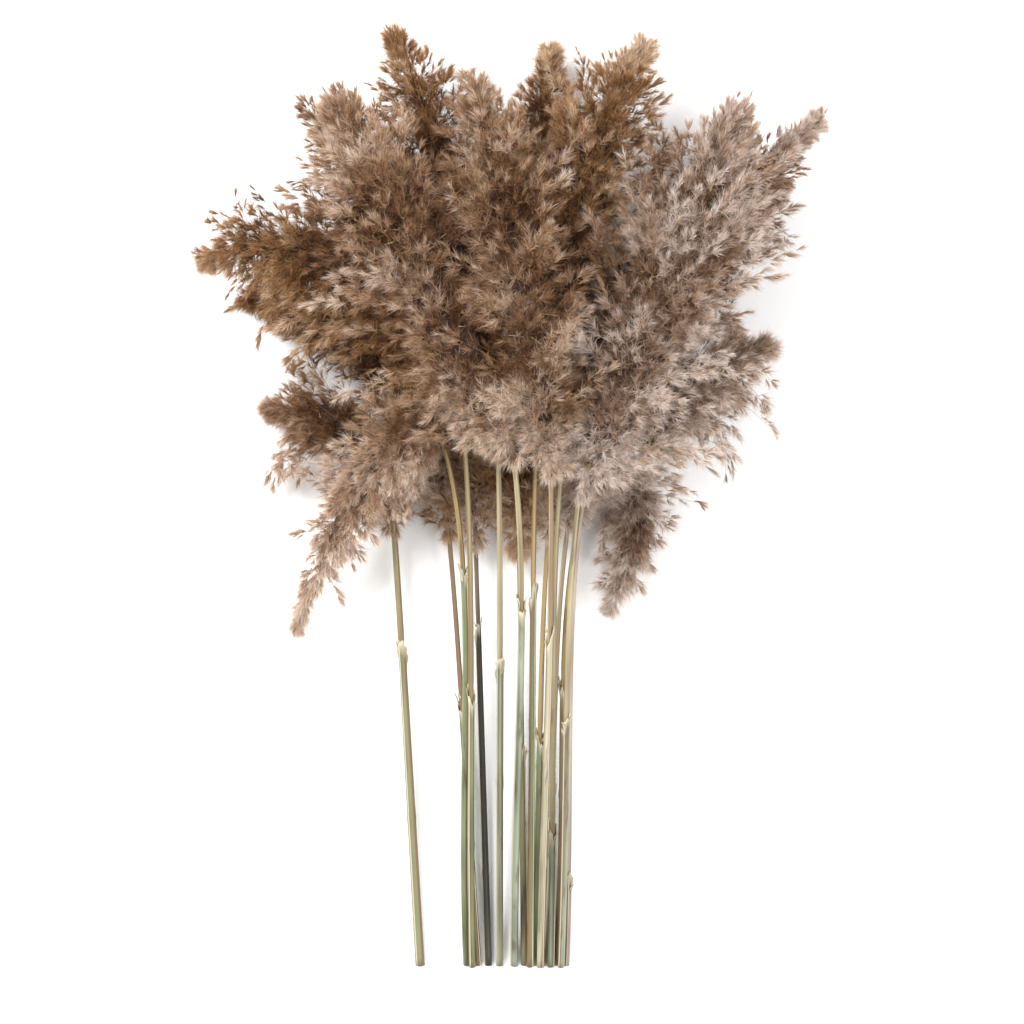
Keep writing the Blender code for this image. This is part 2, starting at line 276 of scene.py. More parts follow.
@dataclass(frozen=True)
class Template:
    """One small shape that is copied many times.

    It has its points, its triangles, and u and v at each corner. A point's x runs across the
    shape, y from its root to its tip, and z out of its face.
    """

    STALK_TAPER = 0.75

    points: np.ndarray
    faces: np.ndarray
    uv: np.ndarray

    @classmethod
    def read(cls, work: BMesh) -> "Template":
        """Reads a finished bmesh and frees it.

        Args:
            work: the small shape, with y from 0 at its root to 1 at its tip.

        Returns:
            The shape as arrays.
        """
        bmesh.ops.triangulate(work, faces=work.faces)
        in_order(work)
        points = places_of(work.verts)
        faces = np.array([[corner.index for corner in face.verts] for face in work.faces])
        work.free()
        around, along = points[faces][:, :, 0], points[faces][:, :, 1]
        return cls(points, faces, np.stack([along, around - around.min()], axis=-1))

    @classmethod
    def hair(cls) -> "Template":
        """A flat straight hair: one triangle that ends in a point.

        Returns:
            The hair.
        """
        work = bmesh.new()
        work.faces.new([work.verts.new(place) for place in ((-0.5, 0, 0), (0.5, 0, 0), (0, 1, 0))])
        return cls.read(work)

    @classmethod
    def husk(cls) -> "Template":
        """A husk: a narrow pointed scale that is folded along its keel.

        Returns:
            The husk.
        """
        work = bmesh.new()
        places = ((0, 0, 0), (-0.5, 0.4, -0.2), (0, 1, 0), (0.5, 0.4, -0.2))
        root, left, tip, right = (work.verts.new(place) for place in places)
        work.faces.new((root, tip, left))
        work.faces.new((root, right, tip))
        return cls.read(work)

    @classmethod
    def sprig(cls) -> "Template":
        """A thin branch: a flat strip in three lengths that ends in a point.

        Returns:
            The branch.
        """
        work = bmesh.new()
        ends = [work.verts.new((x, 0, 0)) for x in (-0.5, 0.5)]
        drawn_out(work, [work.edges.new(ends)], 3, (0, 1 / 3, 0))
        for vertex in work.verts:
            vertex.co.x *= 1 - vertex.co.y
        bmesh.ops.remove_doubles(work, verts=work.verts, dist=0.001)
        return cls.read(work)

    @classmethod
    def stalk(cls, lengths: int = 3) -> "Template":
        """A thin three-sided stalk that tapers to its tip.

        Args:
            lengths: how many lengths it has.

        Returns:
            The stalk.
        """
        work = bmesh.new()
        bmesh.ops.create_circle(work, segments=3, radius=0.5)
        drawn_out(work, list(work.edges), lengths, (0, 0, 1 / lengths))
        for vertex in work.verts:
            x, y, z = vertex.co
            left = 1 - cls.STALK_TAPER * z
            vertex.co = (x * left, z, y * left)
        bmesh.ops.holes_fill(work, edges=work.edges)
        bmesh.ops.recalc_face_normals(work, faces=work.faces)
        return cls.read(work)


@dataclass
class Swarm:
    """Many copies of templates, joined in one mesh.

    On its UV map u runs along each copy, and v is its tone, with a little room across its width.
    """

    LOWEST, TONES, ACROSS = 0.01, 0.96, 0.02

    points: list[np.ndarray] = field(default_factory=list)
    faces: list[np.ndarray] = field(default_factory=list)
    uv: list[np.ndarray] = field(default_factory=list)
    count: int = 0

    def add(
        self, template: Template, way: Curve, face: np.ndarray, width: np.ndarray, tone: np.ndarray
    ) -> None:
        """Adds one copy of a template for each row.

        Args:
            template: the shape that is copied.
            way: the first, middle and last control point of the curve that each copy follows.
            face: which way each copy's face looks.
            width: how wide each copy is.
            tone: each copy's place in the finish's range of colours, 0 to 1.
        """
        first, middle, last = way
        along = unit(last - first)
        up = square_to(along, face)
        side = np.cross(along, up)
        x, y, z = template.points.T
        route = quadratic(first[:, None], middle[:, None], last[:, None], y)
        wide = width[:, None, None]
        points = route + side[:, None] * (x[:, None] * wide) + up[:, None] * (z[:, None] * wide)
        starts = self.count + np.arange(len(first)) * len(template.points)
        uv = np.broadcast_to(template.uv, (len(first), *template.uv.shape)).copy()
        uv[..., 1] = uv[..., 1] * self.ACROSS + self.LOWEST + tone[:, None, None] * self.TONES
        self.points.append(points.reshape(-1, 3))
        self.faces.append((template.faces[None] + starts[:, None, None]).reshape(-1, 3))
        self.uv.append(uv.reshape(-1, 2))
        self.count += points.shape[0] * points.shape[1]

    def mesh(self, name: str) -> Mesh:
        """Makes one mesh of all the copies, pressed up where they would sink into the table.

        Args:
            name: the mesh's name.

        Returns:
            The mesh, with the UV map named strand.
        """
        points, faces = np.concatenate(self.points), np.concatenate(self.faces)
        low = points[:, 2] < SQUASH_HEIGHT
        points[low, 2] = SQUASH_HEIGHT * np.exp(points[low, 2] / SQUASH_HEIGHT - 1)
        made = bpy.data.meshes.new(name)
        made.vertices.add(len(points))
        made.vertices.foreach_set("co", points.astype(np.float32).ravel())
        made.loops.add(faces.size)
        made.loops.foreach_set("vertex_index", faces.astype(np.int32).ravel())
        made.polygons.add(len(faces))
        made.polygons.foreach_set("loop_start", np.arange(0, faces.size, 3, dtype=np.int32))
        layer = made.uv_layers.new(name="strand")
        layer.uv.foreach_set("vector", np.concatenate(self.uv).astype(np.float32).ravel())
        made.update(calc_edges=True)
        made.validate()
        return made


def linked(name: str, data: bpy.types.ID) -> bpy.types.Object:
    """Makes an object and puts it in the scene.

    Args:
        name: its name.
        data: its mesh, light or camera.

    Returns:
        The object.
    """
    made = bpy.data.objects.new(name, data)
    bpy.context.scene.collection.objects.link(made)
    return made


def placed(mesh: Mesh, material: Material, node: str = "") -> None:
    """Makes a piece of a mesh, gives it its material and lets it ride on the bunch.

    Args:
        mesh: already in its place, and with the piece's name.
        material: its finish.
        node: the solid that the piece replaces, if it does.
    """
    made = linked(mesh.name, mesh)
    mesh.materials.append(material)
    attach(made, "root")
    if node:
        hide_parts(node)
    log.info("%s: %d faces", mesh.name, len(mesh.polygons))


class Solids:
    """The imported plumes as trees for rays: one for each plume, and one of all the others.

    A point is the tip of a lock where the mean of its edges' directions is at least as long as
    sharp. The margin is how far inside the plumes' box the branches end.
    """

    SHARP = 0.74
    MARGIN = np.array([0.003, -0.006, 0])

    def __init__(self, count: int) -> None:
        """Reads the plumes' solids, and sets how far the ends of the branches may go.

        Args:
            count: how many plumes there are.
        """
        self.points, self.faces = [], []
        for number in range(1, count + 1):
            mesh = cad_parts[f"plume_{number:02d}"].data
            mesh.calc_loop_triangles()
            points = np.empty(len(mesh.vertices) * 3)
            mesh.vertices.foreach_get("co", points)
            faces = np.empty(len(mesh.loop_triangles) * 3, np.int32)
            mesh.loop_triangles.foreach_get("vertices", faces)
            merged, index = np.unique(points.reshape(-1, 3).round(6), axis=0, return_inverse=True)
            self.points.append(merged)
            self.faces.append(index.reshape(-1)[faces].reshape(-1, 3))
        self.low = np.min([points.min(axis=0) for points in self.points], axis=0) + self.MARGIN
        self.high = np.max([points.max(axis=0) for points in self.points], axis=0) - self.MARGIN
        self.own = [self.tree([k]) for k in range(count)]
        self.others = [self.tree([j for j in range(count) if j != k]) for k in range(count)]

    def tree(self, which: list[int]) -> BVHTree:
        """A tree of some of the solids.

        Args:
            which: their places in the list, from 0.

        Returns:
            The tree.
        """
        starts = np.cumsum([0] + [len(self.points[k]) for k in which])
        points = np.concatenate([self.points[k] for k in which])
        faces = np.concatenate([self.faces[k] + start for k, start in zip(which, starts)])
        return BVHTree.FromPolygons(points.tolist(), faces.tolist())

    def lock_tips(self, index: int) -> np.ndarray:
        """The points of one solid where a lock ends: all the edges there run back the same way.

        Args:
            index: which plume.

        Returns:
            The places, one row each.
        """
        points, faces = self.points[index], self.faces[index]
        pairs = np.concatenate([faces[:, [0, 1]], faces[:, [1, 2]], faces[:, [2, 0]]])
        pairs = np.concatenate([pairs, pairs[:, ::-1]])
        total, count = np.zeros_like(points), np.zeros(len(points))
        np.add.at(total, pairs[:, 0], unit(points[pairs[:, 1]] - points[pairs[:, 0]]))
        np.add.at(count, pairs[:, 0], 1)
        return points[norms(total) / count > self.SHARP]


class Openness:
    """How much of the outside each point of a plume can see.

    A ray is stopped by another plume, or by more than a depth of its own.
    """

    RAYS = 14
    OWN_DEPTH = 17 * MM
    DOWNWARD = -0.2
    WEIGHT_DOWNWARD = 0.3

    def __init__(self, solids: Solids) -> None:
        """Spreads the rays evenly over a sphere, those that go down with less weight.

        Args:
            solids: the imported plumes.
        """
        self.solids = solids
        heights = (np.arange(self.RAYS) + 0.5) / self.RAYS * 2 - 1
        turns = np.arange(self.RAYS) * GOLDEN_ANGLE
        flat = np.sqrt(1 - heights**2)
        spread = np.stack([flat * np.cos(turns), flat * np.sin(turns), heights], axis=1)
        weights = np.where(heights < self.DOWNWARD, self.WEIGHT_DOWNWARD, 1.0).tolist()
        self.rays = [(Vector(row), weight) for row, weight in zip(spread, weights)]
        self.whole = sum(weights)

    def at(self, index: int, places: np.ndarray) -> np.ndarray:
        """The share of the rays from each place that get out.

        Args:
            index: which plume the places are in.
            places: one row each.

        Returns:
            A share for each place, from 0 to 1.
        """
        own, others = self.solids.own[index], self.solids.others[index]
        shares = np.zeros(len(places))
        for k, place in enumerate(places.tolist()):
            start = Vector(place)
            free = 0.0
            for ray, weight in self.rays:
                hit = own.ray_cast(start, ray)
                if hit[3] is not None and hit[3] > self.OWN_DEPTH and hit[1].dot(ray) > 0:
                    continue
                if others.ray_cast(start, ray)[3] is None:
                    free += weight
            shares[k] = free / self.whole
        return shares


@dataclass
class Sprigs:
    """A plume's spikelets.

    Each has its root, its direction, its share of the way along its branch, its tone, how open it
    lies, and the place on the branch that its stalk leaves from.
    """

    root: np.ndarray
    along: np.ndarray
    share: np.ndarray
    tone: np.ndarray
    open: np.ndarray
    stalk: np.ndarray


class Nodes:
    """The nodes of one material, and the ways in which the finishes join them."""

    def __init__(self, name: str, roughness: float, gloss: float = 0.5) -> None:
        """Makes the material.

        Args:
            name: the material's name.
            roughness: its roughness.
            gloss: the level of its highlights.
        """
        self.material = bpy.data.materials.new(name)
        self.material.use_nodes = True
        self.tree = self.material.node_tree
        self.shader = self.tree.nodes["Principled BSDF"]
        self.shader.inputs["Roughness"].default_value = roughness
        self.shader.inputs["Specular IOR Level"].default_value = gloss

    def wire(self, kind: str, inputs: dict, **settings) -> Node:
        """Adds a node.

        Args:
            kind: the node's type.
            inputs: a value or another node's socket for each input, by name or place.
            settings: the node's own properties.

        Returns:
            The node.
        """
        made = self.tree.nodes.new(kind)
        for key, value in settings.items():
            setattr(made, key, value)
        for key, value in inputs.items():
            if isinstance(value, Socket):
                self.tree.links.new(value, made.inputs[key])
            else:
                made.inputs[key].default_value = value
        return made

    def mark(self, name: str) -> Socket:
        """The value of one of the mesh's attributes."""
        return self.wire("ShaderNodeAttribute", {}, attribute_name=name).outputs["Fac"]

    def uv_parts(self, name: str) -> tuple[Socket, Socket]:
        """The two parts of a UV map."""
        uv = self.wire("ShaderNodeUVMap", {}, uv_map=name).outputs["UV"]
        parts = self.wire("ShaderNodeSeparateXYZ", {"Vector": uv}).outputs
        return parts["X"], parts["Y"]

    def maths(self, operation: str, *values: float | Socket) -> Socket:
        """The result of a Math node on some values and other nodes' sockets."""
        return self.wire("ShaderNodeMath", dict(enumerate(values)), operation=operation).outputs[0]

    def noise(self, place: Socket, scale: float, detail: float) -> Socket:
        """Noise at a place, about 0.5 all over."""
        inputs = {"Vector": place, "Scale": scale, "Detail": detail}
        return self.wire("ShaderNodeTexNoise", inputs).outputs[0]

    def ranged(
        self, value: Socket, low: float | Socket, high: float, most: float = 1.0, step: str = "LINEAR"
    ) -> Socket:
        """0 where a value is low, and the most where it is high.

        Args:
            value: the socket that gives the value.
            low: where the result is 0.
            high: where the result is at its most.
            most: the highest result.
            step: how it rises between them.

        Returns:
            The result's socket.
        """
        inputs = {"Value": value, "From Min": low, "From Max": high, "To Max": most}
        return self.wire("ShaderNodeMapRange", inputs, interpolation_type=step).outputs[0]

    def over(self, colour: Socket, top: Colour | Socket, where: Socket) -> Socket:
        """Lays one colour over another.

        Args:
            colour: the socket that gives the lower colour.
            top: the upper colour, or the socket that gives it.
            where: the socket that gives how much of it shows, from 0 to 1.

        Returns:
            The colour's socket.
        """
        above = top if isinstance(top, Socket) else (*top, 1)
        inputs = {"Factor": where, COLOUR_BELOW: colour, COLOUR_ABOVE: above}
        return self.wire("ShaderNodeMix", inputs, data_type="RGBA").outputs[COLOUR_OUT]

    def ramp(self, value: Socket, colours: tuple[Colour, ...]) -> Socket:
        """Colours that follow each other in even steps as a value goes from 0 to 1.

        Args:
            value: the socket that gives the value.
            colours: two or more.

        Returns:
            The colour's socket.
        """
        made = self.wire("ShaderNodeValToRGB", {"Fac": value})
        steps = made.color_ramp.elements
        steps[0].color, steps[1].color = (*colours[0], 1), (*colours[-1], 1)
        for k, colour in enumerate(colours[1:-1], start=1):
            steps.new(k / (len(colours) - 1)).color = (*colour, 1)
        return made.outputs["Color"]

    def coloured(self, colour: Socket) -> None:
        """Gives the shader its colour."""
        self.tree.links.new(colour, self.shader.inputs["Base Color"])

    def bumped(self, height: Socket, strength: float, distance: float) -> None:
        """Gives the shader its bumps.

        Args:
            height: the socket that gives their height, from 0 to 1.
            strength: how strong they are.
            distance: how high they are.
        """
        bumps = {"Height": height, "Strength": strength, "Distance": distance}
        normal = self.wire("ShaderNodeBump", bumps).outputs["Normal"]
        self.tree.links.new(normal, self.shader.inputs["Normal"])

    def translucent(self, colour: Socket, share: float) -> None:
        """Lets a share of the light through the surface.

        Args:
            colour: the socket that gives the light's colour.
            share: from 0 to 1.
        """
        through = self.wire("ShaderNodeBsdfTranslucent", {"Color": colour}).outputs["BSDF"]
        surfaces = {"Fac": share, 1: self.shader.outputs["BSDF"], 2: through}
        both = self.wire("ShaderNodeMixShader", surfaces).outputs["Shader"]
        self.tree.links.new(both, self.tree.nodes["Material Output"].inputs["Surface"])


@dataclass(frozen=True)
class StrandFinish:
    """A finish for thin strands, whose colour runs from root to tip and with each one's own tone.

    The colours at the root and at the tip go from the darkest tone to the palest. Glow is the
    share of the light that shines through.
    """

    name: str
    root: tuple[Colour, ...]
    tip: tuple[Colour, ...]
    roughness: float = 0.6
    gloss: float = 0.3
    glow: float = 0.4

    def material(self) -> Material:
        """Builds the node material.

        Returns:
            The material.
        """
        nodes = Nodes(self.name, self.roughness, self.gloss)
        along, tone = nodes.uv_parts("strand")
        colour = nodes.over(nodes.ramp(tone, self.root), nodes.ramp(tone, self.tip), along)
        nodes.coloured(colour)
        if self.glow:
            nodes.translucent(colour, self.glow)
        return nodes.material


# the low tones on these ramps also carry the painted shade of hidden spikelets
DOWN_FINISHES = {
    Down.SILVER: StrandFinish(
        "silver_down",
        ((0.040, 0.017, 0.009), (0.150, 0.074, 0.036), (0.34, 0.222, 0.148), (0.60, 0.495, 0.430)),
        ((0.090, 0.038, 0.018), (0.330, 0.180, 0.098), (0.64, 0.480, 0.370), (0.94, 0.870, 0.820)),
    ),
    Down.FAWN: StrandFinish(
        "fawn_down",
        ((0.040, 0.015, 0.007), (0.150, 0.066, 0.026), (0.34, 0.198, 0.105), (0.57, 0.435, 0.330)),
        ((0.090, 0.035, 0.014), (0.340, 0.168, 0.072), (0.64, 0.445, 0.300), (0.92, 0.810, 0.710)),
    ),
    Down.OCHRE: StrandFinish(
        "ochre_down",
        ((0.040, 0.014, 0.005), (0.165, 0.068, 0.020), (0.34, 0.185, 0.078), (0.53, 0.375, 0.240)),
        ((0.095, 0.034, 0.011), (0.360, 0.168, 0.056), (0.63, 0.410, 0.228), (0.90, 0.760, 0.610)),
    ),
}
CHAFF = StrandFinish(
    "chaff",
    ((0.045, 0.018, 0.008), (0.24, 0.120, 0.045)),
    ((0.090, 0.040, 0.016), (0.43, 0.255, 0.120)),
    roughness=0.5,
    gloss=0.4,
    glow=0.0,
)
TWIG = StrandFinish(
    "twig",
    ((0.16, 0.085, 0.032), (0.44, 0.285, 0.125)),
    ((0.10, 0.050, 0.020), (0.33, 0.195, 0.080)),
    roughness=0.5,
    gloss=0.4,
    glow=0.0,
)


@dataclass(frozen=True)
class StrawFinish:
    """A finish for dry canes: streaks along the grain, bands across it, an aged side, and stains.

    The grain map runs once round the cane from 0 to 1, and along it from 0 to 1. Its first tenth
    is the cut end, the hollow first, whose dark colour is painted shade. Each pattern has its scale
    round the cane, along it and from reed to reed, and its detail. Each span is where a pattern
    starts to show and where it shows in full.
    """

    HOLLOW = 0.055
    CUT = 0.095
    STREAKS = (5.5, 1.6, 1.0), 4.0
    BANDS = (0.8, 8.0, 1.0), 1.0
    RAGGED = (3.6, 0.9, 3.0), 3.0
    SPOTS = (3.0, 14.0, 2.0), 4.0
    BAND_SHARE = 0.35
    SHADE_SPAN = 0.38, 0.62
    RAGGEDNESS = 4.0
    AGED_SPAN = 2.55, 2.85
    SPOT_SPAN = 0.58, 0.72

    name: str
    dark: Colour
    pale: Colour
    aged: Colour = (0.185, 0.115, 0.062)
    ageing: float = 0.8
    stain: Colour = (0.055, 0.028, 0.012)
    stained: float = 0.4
    rim: Colour = (0.50, 0.44, 0.31)
    # painted shade: the dark inside of the cut end's hollow
    hollow: Colour = (0.05, 0.03, 0.015)
    roughness: float = 0.42
    gloss: float = 0.45

    def material(self) -> Material:
        """Builds the node material.

        Returns:
            The material.
        """
        nodes = Nodes(self.name, self.roughness, self.gloss)
        around, along = nodes.uv_parts("grain")
        grain = {"X": around, "Y": along, "Z": nodes.mark("reed")}
        grain = nodes.wire("ShaderNodeCombineXYZ", grain).outputs[0]
        streaks, bands = (self.pattern(nodes, grain, *kind) for kind in (self.STREAKS, self.BANDS))
        shades = {"Factor": self.BAND_SHARE, NUMBER_A: streaks, NUMBER_B: bands}
        both = nodes.wire("ShaderNodeMix", shades, data_type="FLOAT").outputs[0]
        colour = nodes.ramp(nodes.ranged(both, *self.SHADE_SPAN), (self.dark, self.pale))
        turned = nodes.maths("SUBTRACT", around, nodes.mark("aged"))
        facing = nodes.maths("COSINE", nodes.maths("MULTIPLY", turned, math.tau))
        ragged = self.pattern(nodes, grain, *self.RAGGED)
        facing = nodes.maths("MULTIPLY_ADD", ragged, self.RAGGEDNESS, facing)
        aged = nodes.ranged(facing, *self.AGED_SPAN, self.ageing, "SMOOTHSTEP")
        colour = nodes.over(colour, self.aged, aged)
        spots = self.pattern(nodes, grain, *self.SPOTS)
        spots = nodes.ranged(spots, *self.SPOT_SPAN, self.stained, "SMOOTHSTEP")
        colour = nodes.over(colour, self.stain, spots)
        nodes.coloured(self.edged(nodes, colour, (around, along), streaks))
        nodes.bumped(streaks, 0.6, 0.4 * MM)
        return nodes.material

    @staticmethod
    def pattern(nodes: Nodes, grain: Socket, scale: Triple, detail: float) -> Socket:
        """Noise that is drawn out along the grain."""
        spot = nodes.wire("ShaderNodeVectorMath", {0: grain, 1: scale}, operation="MULTIPLY")
        return nodes.noise(spot.outputs[0], 1.0, detail)

    def edged(
        self, nodes: Nodes, colour: Socket, grain: tuple[Socket, Socket], streaks: Socket
    ) -> Socket:
        """Lays the colours of the edges, here those of the cut end, over the straw's.

        Args:
            nodes: the material's nodes.
            colour: the socket that gives the straw's colour.
            grain: the grain map's parts round the stem and along it.
            streaks: the pattern of streaks, which is not used here.

        Returns:
            The colour's socket.
        """
        colour = nodes.over(colour, self.rim, nodes.maths("LESS_THAN", grain[1], self.CUT))
        # painted shade: the hollow of the cut end is coloured dark
        return nodes.over(colour, self.hollow, nodes.maths("LESS_THAN", grain[1], self.HOLLOW))


@dataclass(frozen=True)
class LeafFinish(StrawFinish):
    """A finish for dry leaf bases, which are more stained and have a pale torn rim and margin.

    The grain map starts at the torn rim, with 1 for 30 cm, and ends its turn at the margin.
    """

    MARGIN = 0.955

    stained: float = 0.6
    rim_reach: float = 0.05
    roughness: float = 0.5

    def edged(
        self, nodes: Nodes, colour: Socket, grain: tuple[Socket, Socket], streaks: Socket
    ) -> Socket:
        """Lays the colours of the edges, here the torn rim and the margin, over the straw's.

        Args:
            nodes: the material's nodes.
            colour: the socket that gives the straw's colour.
            grain: the grain map's parts round the stem and along it.
            streaks: the pattern of streaks, along which the rim is torn.

        Returns:
            The colour's socket.
        """
        torn = nodes.maths("MULTIPLY", streaks, self.rim_reach)
        colour = nodes.over(colour, self.rim, nodes.ranged(grain[1], torn, 0.0))
        return nodes.over(colour, self.rim, nodes.maths("GREATER_THAN", grain[0], self.MARGIN))


STEM_COLOURS = {
    Cane.GREEN: ((0.163, 0.109, 0.041), (0.384, 0.272, 0.112)),
    Cane.OLIVE: ((0.154, 0.123, 0.056), (0.384, 0.312, 0.159)),
    Cane.BROWN: ((0.086, 0.047, 0.022), (0.240, 0.156, 0.081)),
    Cane.DARK: ((0.058, 0.035, 0.022), (0.202, 0.146, 0.091)),
    Cane.CREAM: ((0.230, 0.182, 0.098), (0.461, 0.400, 0.256)),
    Cane.GREY: ((0.178, 0.144, 0.076), (0.403, 0.343, 0.201)),
    Cane.ROSE: ((0.192, 0.140, 0.104), (0.413, 0.338, 0.268)),
}
SHEATH_COLOURS = {
    Cane.GREEN: ((0.084, 0.097, 0.040), (0.245, 0.284, 0.143)),
    Cane.OLIVE: ((0.076, 0.074, 0.031), (0.189, 0.187, 0.090)),
    Cane.BROWN: ((0.061, 0.044, 0.022), (0.199, 0.184, 0.094)),
    Cane.DARK: ((0.010, 0.011, 0.006), (0.051, 0.047, 0.028)),
    Cane.CREAM: ((0.173, 0.147, 0.086), (0.469, 0.430, 0.308)),
    Cane.GREY: ((0.097, 0.107, 0.068), (0.291, 0.320, 0.226)),
    Cane.ROSE: ((0.143, 0.103, 0.077), (0.398, 0.326, 0.270)),
}


@dataclass(frozen=True)
class CoreAndShadeFinish:
    """The dull dark inside of a plume, in blotches of brown; its darkness is partly painted shade."""

    name: str = "plume_core_and_shade"
    # painted shade: the darkest brown stands for the shade deep inside the plume
    dark: Colour = (0.024, 0.010, 0.005)
    pale: Colour = (0.190, 0.088, 0.034)
    roughness: float = 0.9
    blotches: float = 420.0

    def material(self) -> Material:
        """Builds the node material.

        Returns:
            The material.
        """
        nodes = Nodes(self.name, self.roughness)
        place = nodes.wire("ShaderNodeTexCoord", {}).outputs["Object"]
        grain = nodes.noise(place, self.blotches, 4.0)
        nodes.coloured(nodes.ramp(grain, (self.dark, self.dark, self.pale)))
        nodes.bumped(grain, 1.0, 2.0 * MM)
        return nodes.material


@dataclass(frozen=True)
class ToneAndShade:
    """How pale the spikelets are.

    They are paler towards the tips of their branches, low on the plumes and to the right, and in
    random patches, wide and small. They are darker where they lie hidden among other spikelets and
    plumes, and paler where they lie open: painted shade.
    """

    middle: float = 0.55
    by_share: float = 0.28
    usual_share: float = 0.65
    # painted shade: how much darker spikelets are where other spikelets and plumes hide them from the
    # outside
    by_open: float = 0.75
    usual_open: float = 0.38
    by_wide_patch: float = 0.26
    wide_patch: float = 34 * MM
    by_small_patch: float = 0.18
    small_patch: float = 12 * MM
    by_height: float = 0.36
    usual_height: float = 0.44
    low_and_high: tuple[float, float] = (-0.02, 0.17)
    by_side: float = 0.22
    usual_side: float = 0.5
    left_and_right: tuple[float, float] = (-0.28, 0.10)
    luck: float = 0.07

    def tones(
        self, root: np.ndarray, share: np.ndarray, seen: np.ndarray, luck: np.ndarray
    ) -> np.ndarray:
        """The tone of each spikelet, from 0, dark, to 1, pale.

        Args:
            root: the places of the spikelets, one row each.
            share: how far along their branches they are.
            seen: how open they lie, which darkens the hidden ones as painted shade.
            luck: the random part of each one's tone.

        Returns:
            A tone for each spikelet.
        """
        tone = self.middle + self.by_share * (share - self.usual_share)
        # painted shade: spikelets that see less of the outside are darker
        tone += self.by_open * (seen - self.usual_open)
        tone += self.by_wide_patch * patches(root, self.wide_patch, 3.1)
        tone += self.by_small_patch * patches(root, self.small_patch, 7.7)
        tone += self.by_height * (self.usual_height - smooth(root[:, 1], *self.low_and_high))
        side = smooth(root[:, 0] - root[:, 1], *self.left_and_right)
        tone += self.by_side * (side - self.usual_side)
        return np.clip(tone + luck, 0, 1)


